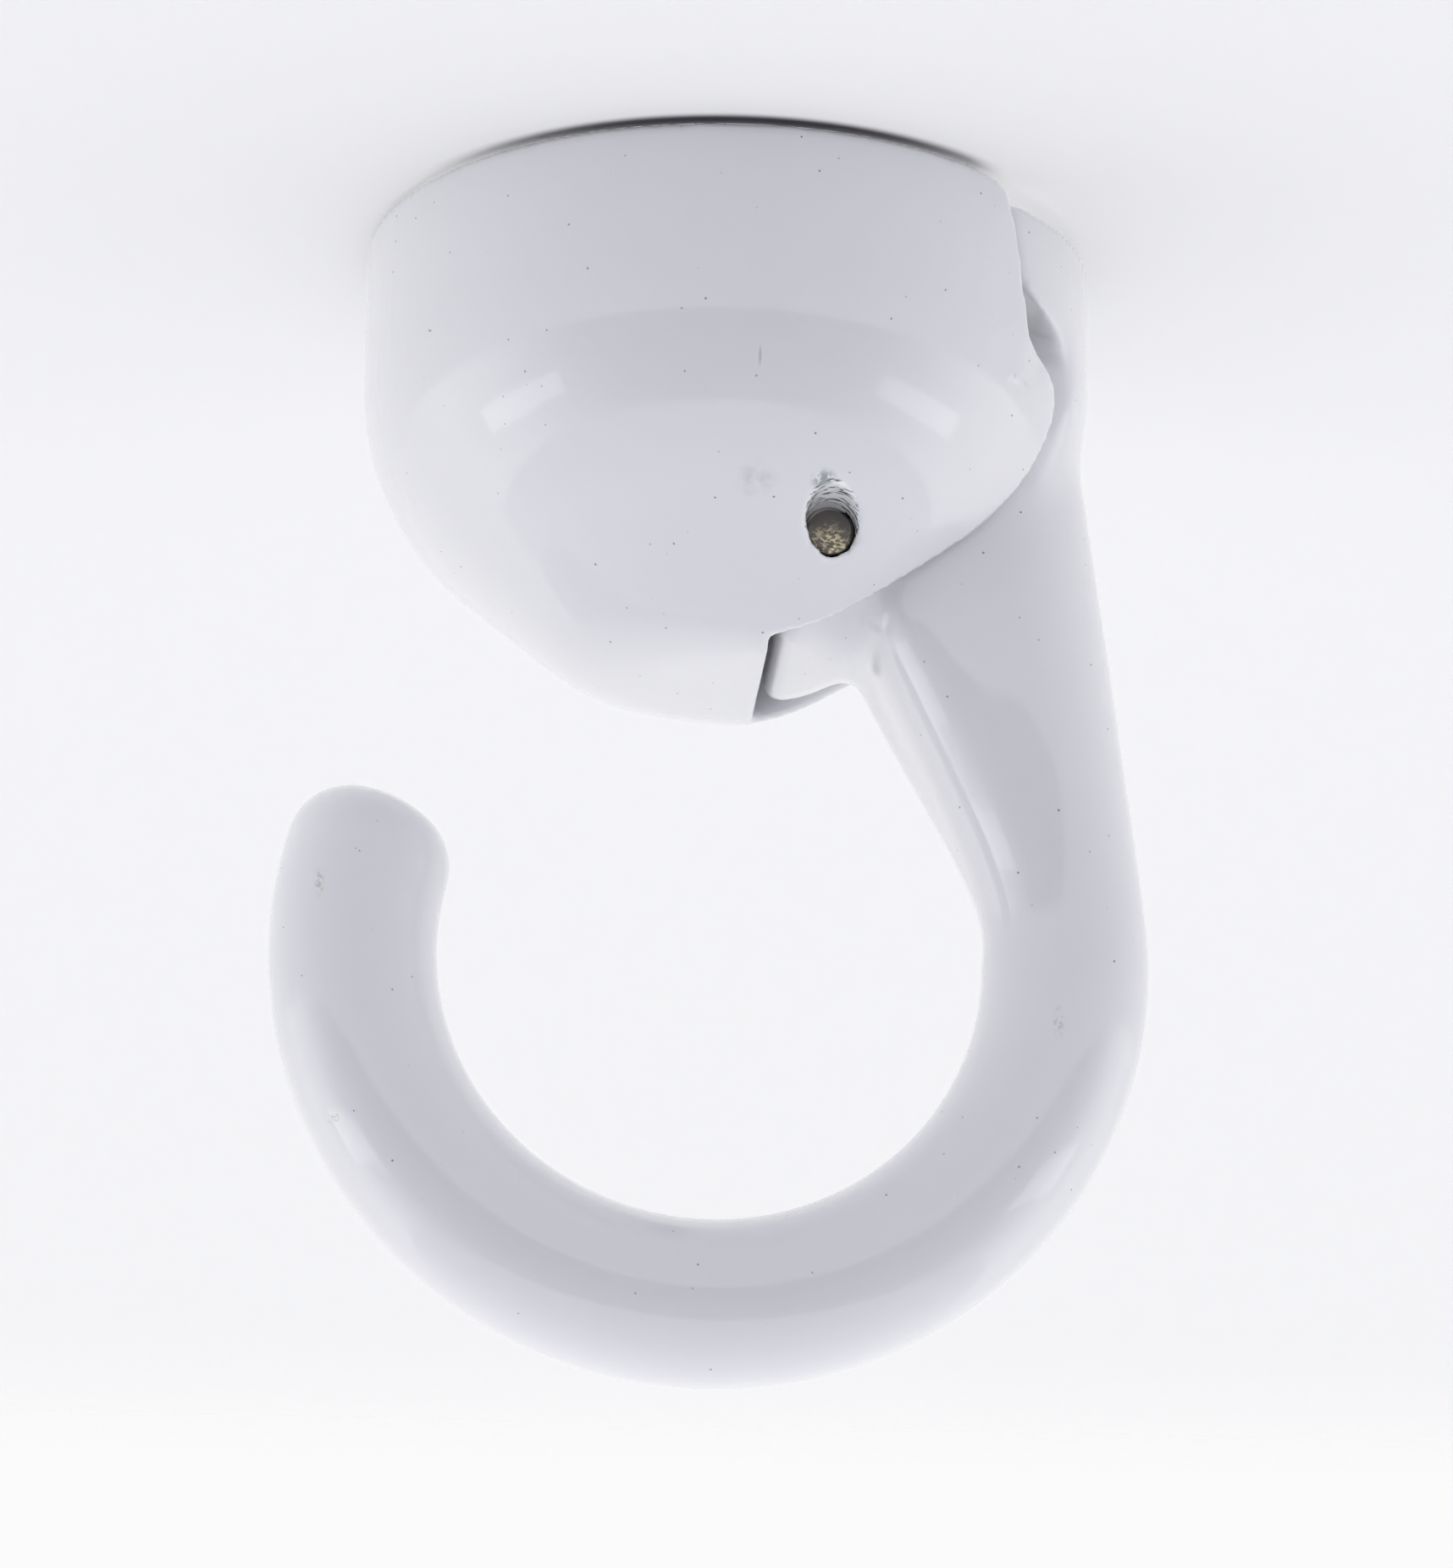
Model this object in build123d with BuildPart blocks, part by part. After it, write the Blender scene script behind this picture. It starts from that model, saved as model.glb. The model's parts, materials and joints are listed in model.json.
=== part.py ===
"""Hinged ceiling hook: a slotted cast cup, a cast hook that swings in the slot, and a hinge pin.

The cup is screwed on a stud in the ceiling. The hook's head fills the slot and finishes the shape of the
cup, and its lug closes the window in the cup's wall. A load turns the back of the head against the boss.
The origin is the middle of the ceiling face, and everything hangs below it.
"""
import os
from math import acos, atan2, cos, hypot, pi, radians, sin, sqrt, tan

from build123d import *

# Cup outside: an upright wall, a rounded shoulder, a cone and a rounded edge to a flat bottom
cup_diameter = 43.4
cup_height = 27.7
shoulder_depth = 16.1       # where the wall and the cone would meet in a corner
shoulder_radius = 15.5
bottom_diameter = 16.4      # where the cone and the flat bottom would meet in a corner
bottom_edge_radius = 5.7

# Cup inside: a shell with a boss for the stud and a cheek on each side of the slot
cup_wall = 2.5
cheek_thickness = 2.5
boss_left = 6.5
boss_right = 5.3
boss_gap = 9.7              # from the boss down to the middle of the hinge
stud_bore_diameter = 5.0    # core diameter of an M6 thread
stud_bore_floor = 2.0

# Slot for the hook's head, and the wider window for its lug
slot_width = 15.6
slot_end = 2.6
slot_edge_radius = 0.4
window_rim_radius = 1.2
window_ledge = 4.3          # beyond the slot, on each side
window_flare = 1.6          # how much each side widens up to the ceiling
window_depth = 9.4
window_step_depth = 11.2
window_corner_radius = 1.2
window_lip_radius = 2.0
window_reach = 10.2         # how far it reaches in from the cup's outer wall

# Hinge
hinge_offset = 5.8
hinge_rise = 6.0            # above the cup's bottom
pin_diameter = 3.0
pin_length = 23.6
pin_chamfer = 0.25
pin_clearance = 0.05
swing_clearance = 0.35

# Hook ring: a round bar with an open side
bar_diameter = 10.0
ring_bore = 32.4
ring_offset = -0.3
ring_drop = 16.9            # below the cup's bottom
tip_angle = 25.2            # above the middle of the ring
tip_edge_radius = 3.6

# Hook arm: from the round bar up to the wide head
arm_top_depth = 12.6
arm_proud = 0.2
arm_side_inset = 0.2        # from the sides of the head
heel_offset = 3.8
neck_rise = 13.7            # above the hinge
neck_waist_offset = 2.2
arm_outer_edge_share = 0.96
arm_inner_edge_share = 0.5
arm_corner_turns = (15, 45, 75)
arm_section_shares = (0.28, 0.46, 0.68, 0.86, 1)

# Hook head and lug
head_recess = 1.2
head_end_gap = 0.5
head_end_radius = 1.2
head_top_radius = 3.0
head_edge_radius = 0.5
head_clearance = 0.3
stop_gap = 0.3              # between the back of the head and the boss, when closed
lug_proud = 0.75
lug_reach = 3.9             # its radius is larger than half the window's width
lug_thickness = 3.5
lug_top_depth = 1.0
lug_edge_radius = 1.2
lug_side_depth = 7.2        # short enough to swing out between the window's sides
lug_clearance = 0.45

overrun = 2.0

cup_radius = cup_diameter / 2
bottom_radius = bottom_diameter / 2
slot_half = slot_width / 2
window_low_half = slot_half + window_ledge
window_top_half = window_low_half + window_flare
window_back = cup_radius - window_reach
bar_radius = bar_diameter / 2
ring_inner_radius = ring_bore / 2
ring_outer_radius = ring_inner_radius + bar_diameter
ring_radius = ring_inner_radius + bar_radius
ring_depth = cup_height + ring_drop
pin_bore_radius = pin_diameter / 2 + pin_clearance
hinge_depth = cup_height - hinge_rise
hinge = (hinge_offset, -hinge_depth)
boss_depth = hinge_depth - boss_gap
neck_top_depth = hinge_depth - neck_rise
head_half = slot_half - head_clearance
head_end = slot_end + head_end_gap
head_drop = hinge_rise - head_recess
head_sweep_radius = hypot(hinge_offset - head_end, head_drop)
lug_radius = window_top_half + lug_reach
lug_centre = cup_radius + lug_proud - lug_radius
lug_back = cup_radius - lug_side_depth
ledge_radius = hypot(cup_radius - hinge_offset, hinge_depth - window_step_depth)
lug_sweep_radius = ledge_radius + lug_clearance  # the lug's underside runs round the hinge, clear of the ledge
lug_plane = Plane((lug_centre, 0, 0), x_dir=(1, 0, 0), z_dir=(0, -1, 0))
lug_axis = Axis((lug_centre, 0, 0), (0, 0, 1))


def dome_face(plane, radius, inset, top):
    """Half section of a dome with the cup's flanks, drawn inset from its surface and up to the height top."""
    cone_slope = atan2(cup_height - shoulder_depth, cup_radius - bottom_radius)
    shoulder_turn = pi / 2 - cone_slope
    flat_radius = bottom_radius + radius - cup_radius
    shoulder = (radius - inset, -shoulder_depth + inset * tan(shoulder_turn / 2))
    bottom = (flat_radius - inset * tan(cone_slope / 2), -cup_height + inset)
    with BuildSketch(plane) as face:
        with BuildLine():
            Polyline(
                (-cup_diameter, top),
                (shoulder[0], top),
                shoulder,
                bottom,
                (-cup_diameter, bottom[1]),
                close=True,
            )
        make_face()
        fillet(face.vertices().sort_by_distance(shoulder)[0], shoulder_radius - inset)
        fillet(face.vertices().sort_by_distance(bottom)[0], bottom_edge_radius - inset)
        with Locations((0, top)):
            Rectangle(cup_diameter, cup_height + top, align=(Align.MIN, Align.MAX), mode=Mode.INTERSECT)
    return face.sketch


def window_face(back, side_gap, slot_gap, top):
    """Outline of the window and the slot below it at x = back, drawn inside their sides by the two gaps."""
    low_half = window_low_half - side_gap
    top_half = low_half + window_flare * (window_depth + top) / window_depth
    half = slot_half - slot_gap
    with BuildSketch(Plane.YZ.offset(back)) as face:
        with BuildLine():
            Polyline(
                (0, top),
                (top_half, top),
                (low_half, -window_depth),
                (half, -window_step_depth),
                (half, -cup_height),
                (0, -cup_height),
                close=True,
            )
        make_face()
        corner = face.vertices().sort_by_distance((low_half, -window_depth))[0]
        fillet(corner, window_corner_radius)
        lip = face.vertices().sort_by_distance((half, -window_step_depth))[0]
        fillet(lip, window_lip_radius)
        mirror(about=Plane.YZ)
    return face.sketch


def tangent_angle(point, radius):
    """Angle on a circle round the ring's middle where the line from an outside point touches it."""
    across = point[0] - ring_offset
    up = point[1] + ring_depth
    return atan2(up, across) - acos(radius / hypot(across, up))


def arm_edge(point, radius, height):
    """Place of an arm edge at a height: along the ring's circle, then straight to the point."""
    angle = tangent_angle(point, radius)
    touch = (ring_offset + radius * cos(angle), -ring_depth + radius * sin(angle))
    if height < touch[1]:
        return ring_offset + sqrt(radius**2 - (height + ring_depth) ** 2)
    return touch[0] - (height - touch[1]) * tan(angle)


arm_top = (cup_radius + arm_proud, -arm_top_depth)
heel = (hinge_offset + heel_offset, -cup_height)
arm_start = -hinge_depth - head_drop / 2
neck_back = boss_right + stop_gap
neck_waist = hinge_offset + neck_waist_offset


def blend(low, high, share):
    """Value between low and high that leaves both ends smoothly."""
    return low + (high - low) * share**2 * (3 - 2 * share)


def arm_section(height):
    """Level section of the arm: round at the ring, and flat in front with a rounder outer side at the head."""
    share = min(1, (height + ring_depth) / (arm_start + ring_depth))
    half = blend(bar_radius, head_half - arm_side_inset, share)
    right = arm_edge(arm_top, ring_outer_radius, min(height, -arm_top_depth))
    left = arm_edge(heel, ring_inner_radius, height)
    if height > arm_start:
        left = neck_waist
    inner_radius = min(half * blend(1, arm_inner_edge_share, share), (right - left) / 2)
    outer_radius = min(half * blend(1, arm_outer_edge_share, share), right - left - inner_radius)
    corners = (
        (right - outer_radius, half - outer_radius, outer_radius, 0),
        (left + inner_radius, half - inner_radius, inner_radius, 90),
        (left + inner_radius, inner_radius - half, inner_radius, 180),
        (right - outer_radius, outer_radius - half, outer_radius, 270),
    )
    middle = (left + inner_radius + right - outer_radius) / 2
    sides = ((right, 0), (middle, half), (left, 0), (middle, -half))
    points = []
    for side, (across, along, radius, start) in zip(sides, corners):
        points.append(side)
        for turn in arm_corner_turns:
            angle = radians(start + turn)
            points.append((across + radius * cos(angle), along + radius * sin(angle)))
    with BuildSketch(Plane.XY.offset(height)) as section:
        with BuildLine():
            Spline(*points, periodic=True)
        make_face()
    return section.sketch.face()


# Hollow of the cup, open to the ceiling on three sides of its boss and cheeks
with BuildPart() as cavity:
    revolve(dome_face(Plane.XZ, cup_radius, cup_wall, overrun), axis=Axis.Z)
    with Locations((-boss_left, 0, overrun)):
        Box(
            cup_diameter,
            slot_width + 2 * cheek_thickness,
            cup_height + overrun,
            align=(Align.MIN, Align.CENTER, Align.MAX),
            mode=Mode.SUBTRACT,
        )

# Ceiling cup
with BuildPart() as ceiling_cup:
    revolve(dome_face(Plane.XZ, cup_radius, 0, 0), axis=Axis.Z)
    with BuildSketch(Plane.XZ):
        with BuildLine():
            Polyline(
                (slot_end, -cup_height - overrun),
                (cup_diameter, -cup_height - overrun),
                (cup_diameter, overrun),
                (boss_right, overrun),
                (boss_right, -boss_depth),
                (slot_end, -boss_depth),
                close=True,
            )
        make_face()
        with Locations(hinge):
            Circle(head_sweep_radius + swing_clearance)
    extrude(amount=slot_half, both=True, mode=Mode.SUBTRACT)
    extrude(window_face(window_back, 0, 0, overrun), amount=cup_radius, mode=Mode.SUBTRACT)
    window_corners = ceiling_cup.edges().filter_by(Axis.X).group_by(Axis.Z)[-1].sort_by(Axis.Y)
    fillet([window_corners[0], window_corners[-1]], window_rim_radius)
    slot_sides = ceiling_cup.faces().filter_by(Axis.Y)
    fillet(slot_sides.edges().filter_by(GeomType.HYPERBOLA), slot_edge_radius)
    add(cavity.part, mode=Mode.SUBTRACT)
    with BuildSketch(Plane.XZ):
        with Locations(hinge):
            Circle(pin_bore_radius)
    extrude(amount=cup_radius, both=True, mode=Mode.SUBTRACT)
    Hole(stud_bore_diameter / 2, boss_depth - stud_bore_floor)

# Head of the hook: a knuckle round the pin and a plug with the shape of the cup, a little sunk
with BuildPart() as head:
    with BuildSketch(Plane.XZ) as head_side:
        with BuildLine():
            Polyline(
                (head_end, -hinge_depth - head_drop),
                (head_end, -hinge_depth + head_drop),
                (neck_back, -boss_depth - stop_gap),
                (neck_back, -neck_top_depth),
                (cup_radius, -neck_top_depth),
                (cup_radius, -hinge_depth - head_drop),
                close=True,
            )
        make_face()
        fillet(head_side.vertices().sort_by_distance((head_end, -hinge_depth - head_drop))[0], head_end_radius)
        fillet(head_side.vertices().sort_by_distance((head_end, -hinge_depth + head_drop))[0], head_top_radius)
    extrude(amount=head_half, both=True)
    revolve(dome_face(Plane.XZ, cup_radius, head_recess, overrun), axis=Axis.Z, mode=Mode.INTERSECT)
    fillet(head.edges().filter_by(GeomType.HYPERBOLA), head_edge_radius)

# Lug and shoulder of the hook: a T that fills the window, with flanges that swing clear of the wall
with BuildPart() as lug:
    revolve(dome_face(lug_plane, lug_radius, 0, -lug_top_depth), axis=lug_axis)
    lug_face = window_face(window_back, lug_clearance, head_clearance, 0)
    extrude(lug_face, amount=cup_radius, mode=Mode.INTERSECT)
    fillet(lug.edges().filter_by(GeomType.ELLIPSE), lug_edge_radius)
    with BuildSketch(Plane.XY.offset(-neck_top_depth)):
        with Locations((lug_centre, 0)):
            Circle(lug_radius - lug_thickness)
        with Locations((lug_back, 0)):
            Rectangle(cup_diameter, cup_diameter, align=(Align.MAX, Align.CENTER))
    extrude(amount=neck_top_depth, mode=Mode.SUBTRACT)
    for side in (Plane.XZ.offset(head_half), Plane.XZ.offset(-head_half).reverse()):
        with BuildSketch(side):
            with Locations(side.to_local_coords(Vector(hinge_offset, 0, -hinge_depth))):
                Circle(lug_sweep_radius)
        extrude(amount=cup_radius, mode=Mode.SUBTRACT)

# Hook
with BuildPart() as hook:
    with BuildSketch(Plane.XY.offset(-ring_depth)) as bar_section:
        with Locations((ring_offset + ring_radius, 0)):
            Circle(bar_radius)
    revolve(axis=Axis((ring_offset, 0, -ring_depth), (0, 1, 0)), revolution_arc=180 + tip_angle)
    tip = Vector(
        ring_offset - ring_radius * cos(radians(tip_angle)),
        0,
        -ring_depth + ring_radius * sin(radians(tip_angle)),
    )
    tip_face = hook.faces().filter_by(GeomType.PLANE).sort_by_distance(tip)[0]
    fillet(tip_face.edges(), tip_edge_radius)
    arm_heights = [-ring_depth + share * (arm_start + ring_depth) for share in arm_section_shares]
    loft([bar_section.sketch.face(), *[arm_section(height) for height in arm_heights]])
    loft([arm_section(arm_start), arm_section(-arm_top_depth)])
    extrude(arm_section(-arm_top_depth), amount=arm_top_depth - neck_top_depth)
    add(head.part)
    add(lug.part)
    with BuildSketch(Plane.XZ):
        with Locations(hinge):
            Circle(pin_bore_radius)
    extrude(amount=slot_width, both=True, mode=Mode.SUBTRACT)

# Hinge pin
with BuildPart() as hinge_pin:
    with BuildSketch(Plane.XZ):
        with Locations(hinge):
            Circle(pin_diameter / 2)
    extrude(amount=pin_length / 2, both=True)
    chamfer(hinge_pin.edges().filter_by(GeomType.CIRCLE), pin_chamfer)

os.makedirs("parts", exist_ok=True)
ceiling_cup.part.label = "ceiling_cup"
export_step(ceiling_cup.part, "parts/ceiling_cup.step")
hook.part.label = "hook"
export_step(hook.part, "parts/hook.step")
hinge_pin.part.label = "hinge_pin"
export_step(hinge_pin.part, "parts/hinge_pin.step")
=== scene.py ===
"""A white lacquered ceiling hook: a cast cup at the ceiling and an open ring that swings on a pin in it."""
import json
import math

import bmesh
import bpy
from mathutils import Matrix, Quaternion, Vector, noise as wander
from mathutils.kdtree import KDTree


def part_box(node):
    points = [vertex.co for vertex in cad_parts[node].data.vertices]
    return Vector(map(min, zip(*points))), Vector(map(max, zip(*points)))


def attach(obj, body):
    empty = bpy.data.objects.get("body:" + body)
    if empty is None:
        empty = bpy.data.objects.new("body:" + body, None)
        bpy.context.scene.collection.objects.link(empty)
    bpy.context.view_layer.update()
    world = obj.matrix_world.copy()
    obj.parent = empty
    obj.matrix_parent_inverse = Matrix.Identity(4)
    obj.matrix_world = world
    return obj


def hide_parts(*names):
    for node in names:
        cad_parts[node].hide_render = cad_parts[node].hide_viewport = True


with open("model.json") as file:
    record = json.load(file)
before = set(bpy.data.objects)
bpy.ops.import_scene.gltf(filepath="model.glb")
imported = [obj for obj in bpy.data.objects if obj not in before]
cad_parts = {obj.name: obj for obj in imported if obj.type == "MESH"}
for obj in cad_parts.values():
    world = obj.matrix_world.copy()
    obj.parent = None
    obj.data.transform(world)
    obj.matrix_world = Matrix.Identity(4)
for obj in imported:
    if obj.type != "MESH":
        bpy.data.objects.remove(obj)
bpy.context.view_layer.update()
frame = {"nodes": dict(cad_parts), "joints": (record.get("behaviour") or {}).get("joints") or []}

# Ceiling cup.
# A zinc die casting in thick white lacquer, screwed up on a stud until its rim meets the ceiling.
# The pin bore was drilled through the lacquer afterwards, so the paint is broken round its mouth.
cup_grain = 0.00034
cup_passes = 3
cup_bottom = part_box("ceiling_cup")[0].z
bottom_edge_radius = 0.0082
bottom_reach = 0.0050
bottom_passes = 240
slot_end = 0.0026
window_half = 0.0137
window_corner_reach = 0.0030
window_corner_passes = 32
rim_reach = 0.0012
rim_passes = 3
window_depth = 0.0094
window_flare = 0.0016
lip_reach = 0.0030
lip_waves = 0.0024
lip_unevenness = 0.0005


def casting(name, node):
    """A copy of a CAD piece with its faces joined, selected and active."""
    same_point = 1e-6
    bpy.ops.object.select_all(action="DESELECT")
    piece = bpy.data.objects.new(name, frame["nodes"][node].data.copy())
    bpy.context.collection.objects.link(piece)
    bpy.context.view_layer.objects.active = piece
    piece.select_set(True)
    bpy.ops.object.mode_set(mode="EDIT")
    bpy.ops.mesh.select_all(action="SELECT")
    bpy.ops.mesh.remove_doubles(threshold=same_point)
    bpy.ops.object.mode_set(mode="OBJECT")
    return piece


def even_skin(piece, grain):
    """Covers the active piece with small even faces, which can be softened."""
    skin = piece.modifiers.new("skin", "REMESH")
    skin.mode = "VOXEL"
    skin.voxel_size = grain
    bpy.ops.object.modifier_apply(modifier=skin.name)
    bpy.ops.object.shade_smooth()


def soften(piece, passes, shares=None):
    """Rounds the active piece off as thick paint does, all over or by each point's share."""
    smooth = piece.modifiers.new("paint", "SMOOTH")
    smooth.iterations = passes
    if shares:
        group = piece.vertex_groups.new(name="share")
        for index, share in shares.items():
            if share > 0:
                share = min(share, 1)
                group.add([index], share * share * (3 - 2 * share), "REPLACE")
        smooth.vertex_group = group.name
    bpy.ops.object.modifier_apply(modifier=smooth.name)
    piece.vertex_groups.clear()


cup = casting("cup_casting", "ceiling_cup")
even_skin(cup, cup_grain)
soften(cup, cup_passes)
near_bottom = {}
near_window = {}
near_rim = {}
for point in cup.data.vertices:
    x, y, z = point.co
    near_rim[point.index] = 1 + z / rim_reach
    off_edge = math.hypot(math.hypot(x, y) - bottom_edge_radius, z - cup_bottom)
    near_bottom[point.index] = min(1 - off_edge / bottom_reach, (slot_end - x) / bottom_reach)
    if x > 0:
        near_window[point.index] = 1 - math.hypot(abs(y) - window_half, z) / window_corner_reach
soften(cup, bottom_passes, near_bottom)
soften(cup, window_corner_passes, near_window)
soften(cup, rim_passes, near_rim)

# the lips of the window, as uneven as the casting came out of the mould
for point in cup.data.vertices:
    x, y, z = point.co
    side = window_half + window_flare * max(z, -window_depth) / window_depth
    share = max(0, 1 - abs(abs(y) - side) / lip_reach)
    if x > slot_end and z > -window_depth - lip_reach:
        wave = wander.noise(Vector((0, y, z)) / lip_waves)
        point.co.y += math.copysign(share, y) * lip_unevenness * wave

lacquer_white = (0.818, 0.82, 0.838, 1)
lacquer_cloud = (0.793, 0.795, 0.815, 1)
cloud_grain = 0.012
pinhole_grey = (0.26, 0.26, 0.29, 1)
pinhole_crowding = 900
pinhole_edge = (0.085, 0.04)
pinhole_chance = (0.45, 0.9)
gloss_grain = 0.006
gloss_smoothest = 0.09
gloss_roughest = 0.15
coat_share = 0.7
coat_roughness = 0.04
peel_grain = 0.0011
peel_strength = 0.05
peel_depth = 0.0002
spot_core_share = 0.2
hinge_x, _, hinge_z = frame["joints"][0]["pos_m"]


def add_node(tree, kind, **settings):
    """A node with its inputs, or its own options, set by name."""
    node = tree.nodes.new(kind)
    for name, value in settings.items():
        label = name.replace("_", " ")
        if hasattr(node, name):
            setattr(node, name, value)
        else:
            node.inputs[label].default_value = value
    return node


def fade(tree, value, at_none, at_full):
    """Turns a distance or a noise into a mask that is 0 at one value and 1 at the other, with soft ends."""
    node = add_node(tree, "ShaderNodeMapRange", interpolation_type="SMOOTHSTEP")
    node.inputs["From Min"].default_value = at_none
    node.inputs["From Max"].default_value = at_full
    tree.links.new(value, node.inputs["Value"])
    return node.outputs["Result"]


def times(tree, first, second):
    """The product of two masks, or of a mask and a number."""
    node = add_node(tree, "ShaderNodeMath", operation="MULTIPLY")
    for socket, value in zip(node.inputs, (first, second)):
        if isinstance(value, (int, float)):
            socket.default_value = value
        else:
            tree.links.new(value, socket)
    return node.outputs["Value"]


def tint(tree, under, mask, colour):
    """Lays a colour over what is under it, where the mask says."""
    under_socket, over_socket, mixed_socket = 6, 7, 2
    node = add_node(tree, "ShaderNodeMix", data_type="RGBA")
    tree.links.new(mask, node.inputs["Factor"])
    if isinstance(under, tuple):
        node.inputs[under_socket].default_value = under
    else:
        tree.links.new(under, node.inputs[under_socket])
    node.inputs[over_socket].default_value = colour
    return node.outputs[mixed_socket]


def noise(tree, place, grain, detail=2, stretch=(1, 1, 1)):
    """Noise with grains of that size in metres, drawn out along the axes by stretch."""
    mapping = add_node(tree, "ShaderNodeMapping")
    mapping.inputs["Scale"].default_value = [1 / (grain * s) for s in stretch]
    tree.links.new(place, mapping.inputs["Vector"])
    node = add_node(tree, "ShaderNodeTexNoise", Scale=1, Detail=detail)
    tree.links.new(mapping.outputs["Vector"], node.inputs["Vector"])
    return node.outputs["Fac"]


def length(tree, vector):
    """How long a vector is."""
    node = add_node(tree, "ShaderNodeVectorMath", operation="LENGTH")
    tree.links.new(vector, node.inputs[0])
    return node.outputs["Value"]


def spot(tree, place, centre, reach, stretch=(1, 1, 1)):
    """A soft round or drawn-out patch about a point of the surface."""
    mapping = add_node(tree, "ShaderNodeMapping", vector_type="TEXTURE")
    mapping.inputs["Location"].default_value = centre
    mapping.inputs["Scale"].default_value = [reach * s for s in stretch]
    tree.links.new(place, mapping.inputs["Vector"])
    return fade(tree, length(tree, mapping.outputs["Vector"]), 1, spot_core_share)


def off_axis(tree, place):
    """The distance from the hinge's axis."""
    mapping = add_node(tree, "ShaderNodeMapping", vector_type="POINT")
    mapping.inputs["Location"].default_value = (-hinge_x, 0, -hinge_z)
    mapping.inputs["Scale"].default_value = (1, 0, 1)
    tree.links.new(place, mapping.inputs["Vector"])
    return length(tree, mapping.outputs["Vector"])


def white_lacquer(name):
    """White gloss lacquer with clouds, orange peel and pinholes; gives its tree, place and colour too."""
    material = bpy.data.materials.new(name)
    material.use_nodes = True
    tree = material.node_tree
    shader = tree.nodes["Principled BSDF"]
    place = add_node(tree, "ShaderNodeTexCoord").outputs["Object"]
    colour = tint(tree, lacquer_white, noise(tree, place, cloud_grain, detail=3), lacquer_cloud)

    pinholes = add_node(tree, "ShaderNodeTexVoronoi", Scale=pinhole_crowding)
    tree.links.new(place, pinholes.inputs["Vector"])
    dots = fade(tree, pinholes.outputs["Distance"], *pinhole_edge)
    chance = add_node(tree, "ShaderNodeSeparateColor")
    tree.links.new(pinholes.outputs["Color"], chance.inputs["Color"])
    dots = times(tree, dots, fade(tree, chance.outputs["Red"], *pinhole_chance))
    colour = tint(tree, colour, dots, pinhole_grey)

    gloss = add_node(tree, "ShaderNodeMapRange")
    gloss.inputs["To Min"].default_value = gloss_smoothest
    gloss.inputs["To Max"].default_value = gloss_roughest
    tree.links.new(noise(tree, place, gloss_grain), gloss.inputs["Value"])
    tree.links.new(gloss.outputs["Result"], shader.inputs["Roughness"])
    shader.inputs["Coat Weight"].default_value = coat_share
    shader.inputs["Coat Roughness"].default_value = coat_roughness

    peel = add_node(tree, "ShaderNodeBump", Strength=peel_strength, Distance=peel_depth)
    tree.links.new(noise(tree, place, peel_grain), peel.inputs["Height"])
    tree.links.new(peel.outputs["Normal"], shader.inputs["Normal"])
    return material, tree, place, colour


def lay_paint(piece, material, colour):
    """Gives the paint its finished colour, and the piece its paint."""
    tree = material.node_tree
    tree.links.new(colour, tree.nodes["Principled BSDF"].inputs["Base Color"])
    piece.data.materials.clear()
    piece.data.materials.append(material)


cup_paint, cup_tree, cup_place, cup_colour = white_lacquer("cup_lacquer")

# a thumb smudge and a fine upright scratch on the front
smudge_grey = (0.46, 0.47, 0.49, 1)
smudge_place = (0.0011, -0.0165, -0.0205)
smudge_reach = 0.0016
smudge_grain = 0.0008
smudge_patches = (0.3, 0.8)
smudge_strength = 0.5
scratch_place = (0.0010, -0.0207, -0.0144)
scratch_width = 0.00012
scratch_stretch = (1, 5, 7)
scratch_strength = 0.7
smudge = spot(cup_tree, cup_place, smudge_place, smudge_reach)
smudge_noise = noise(cup_tree, cup_place, smudge_grain, detail=4)
smudge = times(cup_tree, smudge, fade(cup_tree, smudge_noise, *smudge_patches))
cup_colour = tint(cup_tree, cup_colour, times(cup_tree, smudge, smudge_strength), smudge_grey)
scratch = spot(cup_tree, cup_place, scratch_place, scratch_width, scratch_stretch)
cup_colour = tint(cup_tree, cup_colour, times(cup_tree, scratch, scratch_strength), smudge_grey)

# the bore's wall, with its paint cracked in broken rings
broken_paint = (0.92, 0.93, 0.94, 1)
bore_edge = (0.00170, 0.00158)
crack_dark = (0.10, 0.11, 0.12, 1)
crack_grain = 0.0006
crack_stretch = (2.5, 0.45, 1)
crack_edge = (0.48, 0.55)
crack_break_grain = 0.0007
crack_breaks = (0.36, 0.52)
bore_mask = fade(cup_tree, off_axis(cup_tree, cup_place), *bore_edge)
cup_colour = tint(cup_tree, cup_colour, bore_mask, broken_paint)
crack_noise = noise(cup_tree, cup_place, crack_grain, detail=4, stretch=crack_stretch)
break_noise = noise(cup_tree, cup_place, crack_break_grain, detail=3)
cracks = times(cup_tree, fade(cup_tree, crack_noise, *crack_edge), fade(cup_tree, break_noise, *crack_breaks))
cup_colour = tint(cup_tree, cup_colour, times(cup_tree, cracks, bore_mask), crack_dark)

# a painted highlight on the lip under the bore's mouth, and a chip over it
lip_highlight_white = (0.93, 0.93, 0.94, 1)
lip_highlight_place = (0.0059, -0.0117, -0.0234)
lip_highlight_reach = 0.0010
lip_highlight_stretch = (1.2, 0.5, 0.5)
chip_grey = (0.33, 0.36, 0.36, 1)
chip_place = (0.0051, -0.0161, -0.0202)
chip_reach = 0.0010
chip_stretch = (1, 1, 0.8)
chip_grain = 0.00045
chip_edge = (0.4, 0.55)
# painted highlight: a near-white patch on the lip under the bore's mouth
lip_highlight = spot(cup_tree, cup_place, lip_highlight_place, lip_highlight_reach, lip_highlight_stretch)
cup_colour = tint(cup_tree, cup_colour, lip_highlight, lip_highlight_white)
chip = spot(cup_tree, cup_place, chip_place, chip_reach, chip_stretch)
chip = times(cup_tree, chip, fade(cup_tree, noise(cup_tree, cup_place, chip_grain, detail=4), *chip_edge))
cup_colour = tint(cup_tree, cup_colour, chip, chip_grey)

lay_paint(cup, cup_paint, cup_colour)
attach(cup, "cup")
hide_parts("ceiling_cup")

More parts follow.
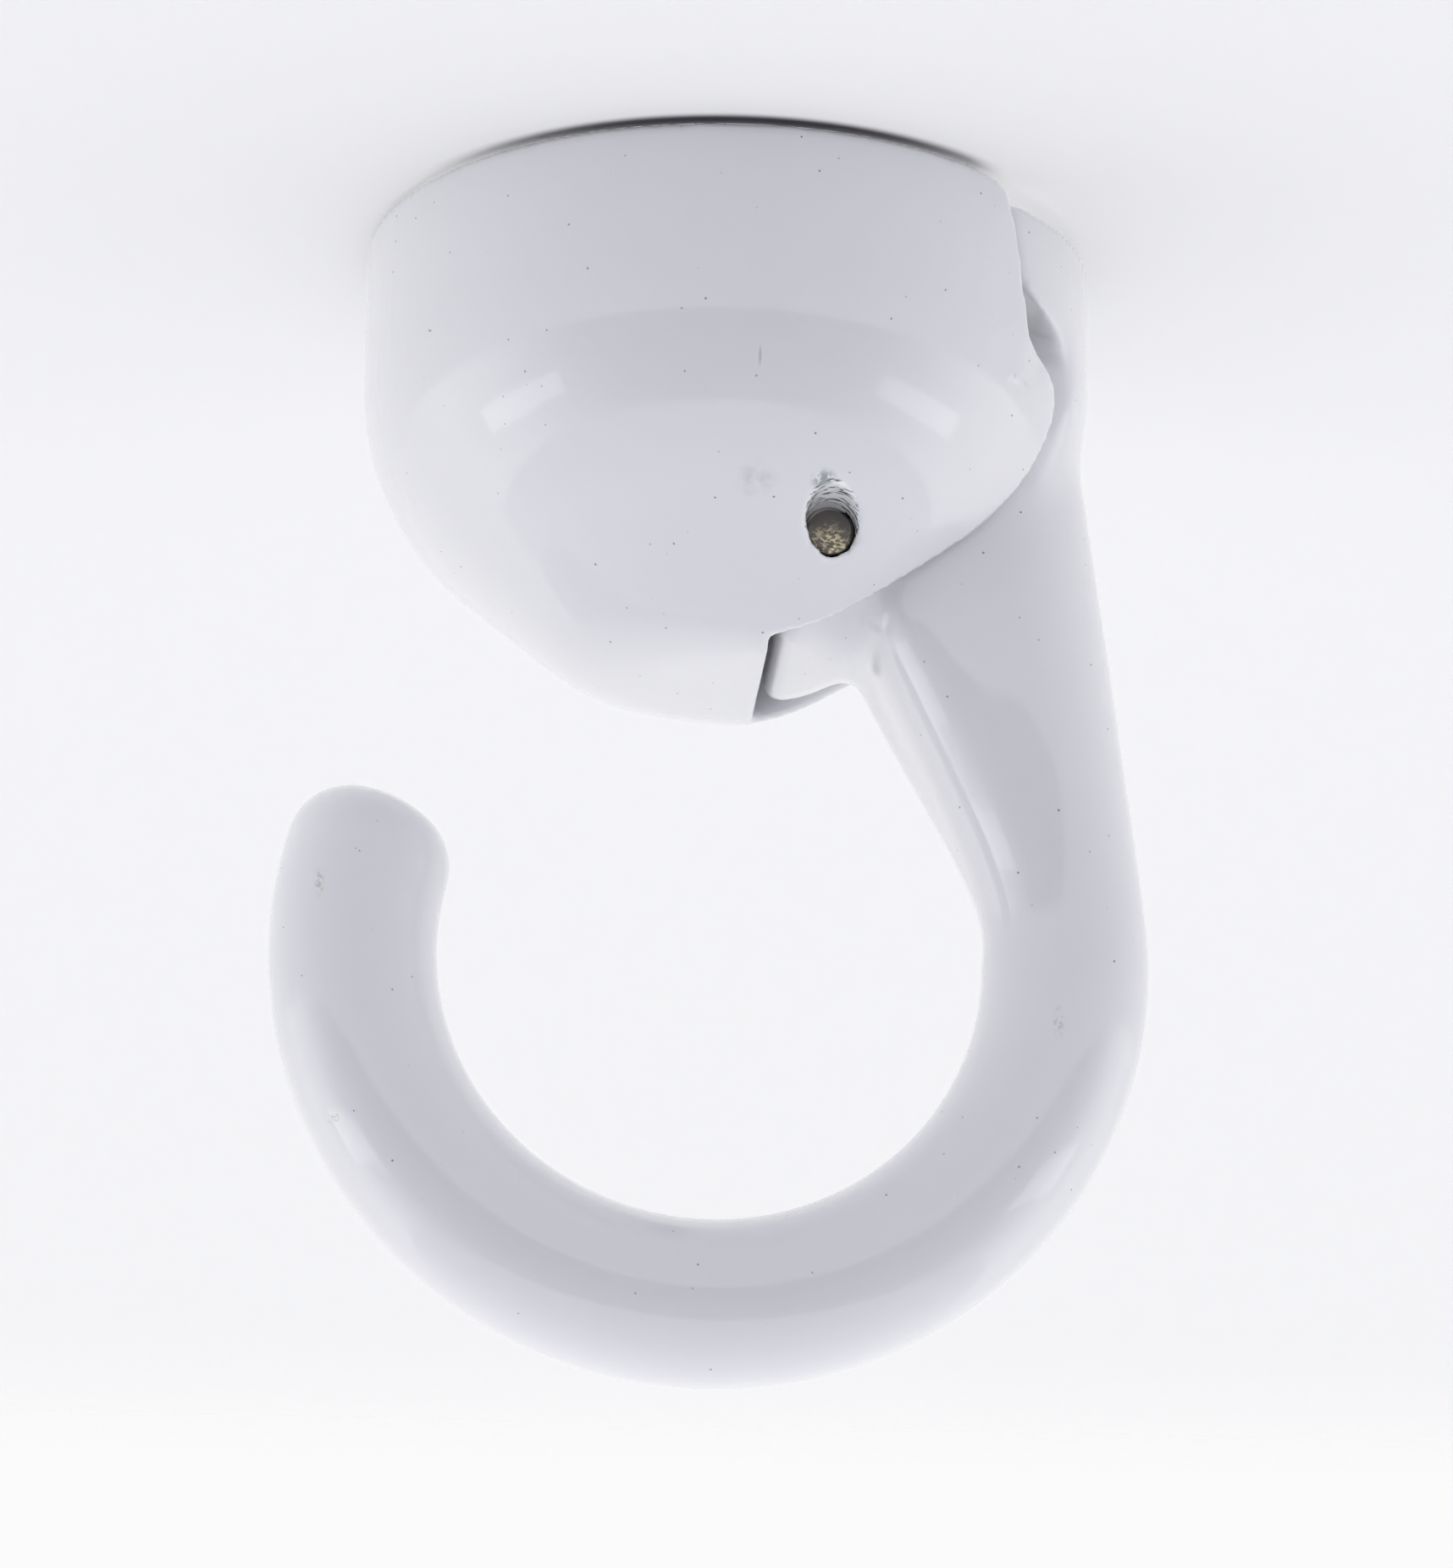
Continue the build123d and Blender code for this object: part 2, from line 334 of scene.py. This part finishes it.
# Hook.
# One zinc casting in the same lacquer: a round bar bent to an open ring, with an arm that widens into the
# plug in the cup's slot. Thick paint rounds off its inner corners, and what hung in the ring has rubbed it.
hook_grain = 0.00027
hook_passes = 6
corner_turn = math.radians(20)
corner_reach = 0.0034
corner_passes = 180
plug_corner_reach = 0.0024
scuff_brown = (0.52, 0.45, 0.38, 1)
scuff_grain = 0.00025
scuff_patches = (0.45, 0.6)
scuff_strength = 0.6
scuffs = [
    ((0.0199, -0.0050, -0.0495), 0.0004, (1, 2, 3.2)),
    ((-0.0224, -0.0034, -0.0560), 0.0005, (1, 2, 1.2)),
    ((-0.0236, -0.0045, -0.0420), 0.0004, (1, 2, 3)),
]

hook = casting("hook_casting", "hook")
form = bmesh.new()
form.from_mesh(hook.data)
inner_corners = [edge for edge in form.edges if edge.calc_face_angle_signed(0) < -corner_turn]
corner_tree = KDTree(len(inner_corners))
for index, edge in enumerate(inner_corners):
    corner_tree.insert((edge.verts[0].co + edge.verts[1].co) / 2, index)
corner_tree.balance()
form.free()
even_skin(hook, hook_grain)
soften(hook, hook_passes)
plug_points = [point.co for point in hook.data.vertices if point.co.z > cup_bottom]
plug_end = min(point.x for point in plug_points)
plug_side = max(point.y for point in plug_points if point.x < plug_end + plug_corner_reach)
near_corner = {}
for point in hook.data.vertices:
    off_inner_corner = corner_tree.find(point.co)[2]
    share = 1 - off_inner_corner / corner_reach
    if point.co.z > cup_bottom:
        off_plug_corner = math.hypot(point.co.x - plug_end, abs(point.co.y) - plug_side)
        share = max(share, 1 - off_plug_corner / plug_corner_reach)
    near_corner[point.index] = share
soften(hook, corner_passes, near_corner)

hook_paint, hook_tree, hook_place, hook_colour = white_lacquer("hook_lacquer")
for centre, reach, stretch in scuffs:
    rub = spot(hook_tree, hook_place, centre, reach, stretch)
    rub = times(hook_tree, rub, fade(hook_tree, noise(hook_tree, hook_place, scuff_grain), *scuff_patches))
    hook_colour = tint(hook_tree, hook_colour, times(hook_tree, rub, scuff_strength), scuff_brown)
lay_paint(hook, hook_paint, hook_colour)
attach(hook, "swing_hook")
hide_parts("hook")

# Hinge pin.
# A bare steel pin, cut off and driven in through the bore until its ends are sunk in the cup.
# The cut end is dull brown grey, with brassy scratches from the drift across its lower half, and a dark ring
# of painted shadow round its edge.
steel_dull = (0.18, 0.165, 0.15, 1)
steel_bright = (0.74, 0.67, 0.42, 1)
pin_gap_shadow_dark = (0.05, 0.045, 0.04, 1)
steel_roughness = 0.42
scratches_grain = 0.00026
scratches_stretch = (1, 1, 0.6)
scratches_edge = (0.45, 0.62)
pin_end = -0.0118
drift_drop = 0.0009
drift_place = (hinge_x, pin_end, hinge_z - drift_drop)
drift_reach = 0.0017
pin_gap_shadow_edge = (0.00136, 0.00148)
dent_grain = 0.0003
dent_strength = 0.5
dent_depth = 0.0001

pin = frame["nodes"]["hinge_pin"]
steel = bpy.data.materials.new("pin_steel")
steel.use_nodes = True
steel_tree = steel.node_tree
steel_shader = steel_tree.nodes["Principled BSDF"]
steel_shader.inputs["Metallic"].default_value = 1
steel_shader.inputs["Roughness"].default_value = steel_roughness
steel_place = add_node(steel_tree, "ShaderNodeTexCoord").outputs["Object"]
scratch_noise = noise(steel_tree, steel_place, scratches_grain, detail=5, stretch=scratches_stretch)
scratches = fade(steel_tree, scratch_noise, *scratches_edge)
drift_mark = spot(steel_tree, steel_place, drift_place, drift_reach)
steel_colour = tint(steel_tree, steel_dull, times(steel_tree, scratches, drift_mark), steel_bright)
# painted shadow: a dark ring round the pin's end, where the gap to the bore is in shade
pin_gap_shadow = fade(steel_tree, off_axis(steel_tree, steel_place), *pin_gap_shadow_edge)
steel_colour = tint(steel_tree, steel_colour, pin_gap_shadow, pin_gap_shadow_dark)
steel_tree.links.new(steel_colour, steel_shader.inputs["Base Color"])
dents = add_node(steel_tree, "ShaderNodeBump", Strength=dent_strength, Distance=dent_depth)
steel_tree.links.new(noise(steel_tree, steel_place, dent_grain, detail=4), dents.inputs["Height"])
steel_tree.links.new(dents.outputs["Normal"], steel_shader.inputs["Normal"])
pin.data.materials[0] = steel

# Ceiling board and floor.
# A pale board a hair over the cup's rim, with a dark shadow painted on it along the rim's front, that fades
# out far behind the hook, and a pale round floor well below. Both only set the stage.
board_white = (0.86, 0.86, 0.865, 1)
board_roughness = 0.8
board_reach = 0.45
board_sides = 192
rim_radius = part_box("ceiling_cup")[1].y
board_over_rim = 0.006
board_hole = rim_radius - board_over_rim
board_shade_over_rim = 0.0007
board_light_hole = rim_radius - board_shade_over_rim
board_light_edge = 0.00005
board_gap = 0.0002
board_far_edge = 0.305
board_fade = 0.035
board_glow_share = 0.25
seam_shadow_dark = (0.1, 0.095, 0.105, 1)
seam_reach = 0.0007
seam_overlap = 0.0003
seam_end_share = 0.45
seam_corner = 0.0165
seam_corner_fade = 0.0030
floor_drop = 0.6
floor_reach = 0.75
floor_sides = 96


def larger(tree, first, second):
    """The larger of two masks."""
    node = add_node(tree, "ShaderNodeMath", operation="MAXIMUM")
    tree.links.new(first, node.inputs[0])
    tree.links.new(second, node.inputs[1])
    return node.outputs["Value"]


def mix_shaders(tree, mask, first, second):
    """The first shader where the mask is 0, and the second where it is 1."""
    node = add_node(tree, "ShaderNodeMixShader")
    tree.links.new(mask, node.inputs["Fac"])
    tree.links.new(first, node.inputs[1])
    tree.links.new(second, node.inputs[2])
    return node.outputs["Shader"]


def pale_sheet(name):
    """Pale matt paint for the board and the floor."""
    material = bpy.data.materials.new(name)
    material.use_nodes = True
    shader = material.node_tree.nodes["Principled BSDF"]
    shader.inputs["Base Color"].default_value = board_white
    shader.inputs["Roughness"].default_value = board_roughness
    shader.inputs["Specular IOR Level"].default_value = 0
    return material


board_place = (0, 0, board_gap)
board_growth = board_reach / board_hole
bpy.ops.object.select_all(action="DESELECT")
bpy.ops.mesh.primitive_circle_add(
    vertices=board_sides, radius=board_hole, fill_type="NOTHING", location=board_place)
bpy.ops.object.transform_apply()
board = bpy.context.object
board.name = "ceiling_board"
bpy.ops.object.mode_set(mode="EDIT")
bpy.ops.mesh.extrude_region_move()
bpy.ops.transform.resize(value=(board_growth, board_growth, 1))
bpy.ops.mesh.select_all(action="SELECT")
bpy.ops.mesh.normals_make_consistent(inside=False)
bpy.ops.object.mode_set(mode="OBJECT")
if board.data.polygons[0].normal.z > 0:
    board.data.flip_normals()

# the painted shadow where the rim meets the board, which ends at the window's corner
board_paint = pale_sheet("board_paint")
board_tree = board_paint.node_tree
board_shader = board_tree.nodes["Principled BSDF"]
board_point = add_node(board_tree, "ShaderNodeTexCoord").outputs["Object"]
board_axes = add_node(board_tree, "ShaderNodeSeparateXYZ")
board_tree.links.new(board_point, board_axes.inputs["Vector"])
off_middle = length(board_tree, board_point)
# painted shadow: the board is darkened in a thin ring along the rim's front, where rim and board meet
seam_shadow = fade(board_tree, off_middle, rim_radius + seam_reach, rim_radius - seam_overlap)
seam_shadow_front = fade(board_tree, board_axes.outputs["Y"], -rim_radius * seam_end_share, -rim_radius)
seam_shadow_right = fade(board_tree, board_axes.outputs["X"], seam_corner, seam_corner - seam_corner_fade)
seam_shadow = times(board_tree, times(board_tree, seam_shadow, seam_shadow_front), seam_shadow_right)
board_tree.links.new(tint(board_tree, board_white, seam_shadow, seam_shadow_dark), board_shader.inputs["Base Color"])

# a lift towards white for what sees the board, though not in the painted shadow at the rim
board_rays = add_node(board_tree, "ShaderNodeLightPath").outputs
board_mirrored = larger(board_tree, board_rays["Is Glossy Ray"], board_rays["Is Transmission Ray"])
board_seen = larger(board_tree, board_rays["Is Camera Ray"], board_mirrored)
board_lit = times(board_tree, board_seen, fade(board_tree, seam_shadow, 1, 0))
board_lift = times(board_tree, board_lit, board_glow_share)
board_glow = add_node(board_tree, "ShaderNodeEmission", Color=(1, 1, 1, 1)).outputs["Emission"]
board_lifted = mix_shaders(board_tree, board_lift, board_shader.outputs["BSDF"], board_glow)

# clear from above, past its far edge, and over the cup to all but the camera's own rays
board_end = (board_far_edge - board_fade, board_far_edge + board_fade)
past_edge = fade(board_tree, board_axes.outputs["Y"], *board_end)
from_above = add_node(board_tree, "ShaderNodeNewGeometry").outputs["Backfacing"]
over_cup = fade(board_tree, off_middle, board_light_hole + board_light_edge, board_light_hole)
unseen = fade(board_tree, board_rays["Is Camera Ray"], 1, 0)
open_to = larger(board_tree, larger(board_tree, past_edge, from_above), times(board_tree, over_cup, unseen))
clear = add_node(board_tree, "ShaderNodeBsdfTransparent").outputs["BSDF"]
board_finish = mix_shaders(board_tree, open_to, board_lifted, clear)
board_tree.links.new(board_finish, board_tree.nodes["Material Output"].inputs["Surface"])
board.data.materials.append(board_paint)

floor_place = (0, 0, -floor_drop)
bpy.ops.mesh.primitive_circle_add(
    vertices=floor_sides, radius=floor_reach, fill_type="NGON", location=floor_place)
bpy.ops.object.transform_apply()
floor = bpy.context.object
floor.name = "floor"
floor.data.materials.append(pale_sheet("floor_paint"))

# Studio light.
# A pale room, bright beside the hook and dim on the camera's side, so that the outline is light and the
# front is shaded, with a wide soft light below and two low soft boxes that show as patches on the cup.
room_front = (0.17, 0.175, 0.245, 1)
room_side = (1.45, 1.45, 1.45, 1)
room_back = (0.75, 0.75, 0.75, 1)
backdrop = (0.965, 0.965, 0.965, 1)
front_to_side = (-0.8, 0)
side_to_back = (0.2, 0.9)
world = bpy.data.worlds.new("room")
bpy.context.scene.world = world
world.use_nodes = True
room = world.node_tree
room_axes = add_node(room, "ShaderNodeSeparateXYZ")
room.links.new(add_node(room, "ShaderNodeTexCoord").outputs["Generated"], room_axes.inputs["Vector"])
room_colour = tint(room, room_front, fade(room, room_axes.outputs["Y"], *front_to_side), room_side)
behind = fade(room, room_axes.outputs["Y"], *side_to_back)
room_colour = tint(room, room_colour, behind, room_back)
room_rays = add_node(room, "ShaderNodeLightPath").outputs
room_mirrored = larger(room, room_rays["Is Glossy Ray"], room_rays["Is Transmission Ray"])
room_seen = larger(room, room_rays["Is Camera Ray"], times(room, behind, room_mirrored))
room_colour = tint(room, room_colour, room_seen, backdrop)
room.links.new(room_colour, room.nodes["Background"].inputs["Color"])

under_size = 0.9
under_power = 1.05
under_colour = (0.92, 0.92, 1.0)
under_height = 0.02
under_lamp = bpy.data.lights.new("soft_light_below", "AREA")
under_lamp.shape = "DISK"
under_lamp.size = under_size
under_lamp.energy = under_power
under_lamp.color = under_colour
under_light = bpy.data.objects.new("soft_light_below", under_lamp)
under_light.location = (0, 0, under_height - floor_drop)
under_light.rotation_euler = (math.pi, 0, 0)
under_light.visible_camera = False
under_light.visible_glossy = False
bpy.context.collection.objects.link(under_light)

box_distance = 0.6
box_drop = math.radians(20)
box_width = 0.34
box_height = 0.10
box_power = 0.1
box_aim = Vector((0, 0, -0.02))
box_turns = {"left": math.radians(-74), "right": math.radians(68)}


def seen_from(turn, drop):
    """The way from the hook to something turned off its front and dropped below it."""
    return Vector((math.sin(turn) * math.cos(drop), -math.cos(turn) * math.cos(drop), -math.sin(drop)))


for side, turn in box_turns.items():
    lamp = bpy.data.lights.new(f"soft_box_{side}", "AREA")
    lamp.shape = "RECTANGLE"
    lamp.size = box_width
    lamp.size_y = box_height
    lamp.energy = box_power
    box = bpy.data.objects.new(f"soft_box_{side}", lamp)
    way = seen_from(turn, box_drop)
    box.location = box_aim + box_distance * way
    box.rotation_euler = way.to_track_quat("Z", "Y").to_euler()
    box.visible_camera = False
    bpy.context.collection.objects.link(box)

# Camera.
# A long lens close under the ceiling, looking up at the hook from the front and a little to its left.
camera_aim = Vector((0.000604, 0, -0.033724))
camera_distance = 0.42026
camera_turn = -0.066622
camera_drop = 0.320810
camera_roll = 0.007173
focal_pixels = 8288.8
frame_height = 1852
film_width = 36
nearest_seen = 0.01
lens = bpy.data.cameras.new("camera")
lens.sensor_width = film_width
lens.lens = focal_pixels * film_width / frame_height
lens.clip_start = nearest_seen
camera = bpy.data.objects.new("camera", lens)
camera_way = seen_from(camera_turn, camera_drop)
camera.location = camera_aim + camera_distance * camera_way
camera.rotation_mode = "QUATERNION"
camera.rotation_quaternion = camera_way.to_track_quat("Z", "Y") @ Quaternion((0, 0, 1), camera_roll)
bpy.context.collection.objects.link(camera)
bpy.context.scene.camera = camera
bpy.context.scene.view_settings.view_transform = "Standard"
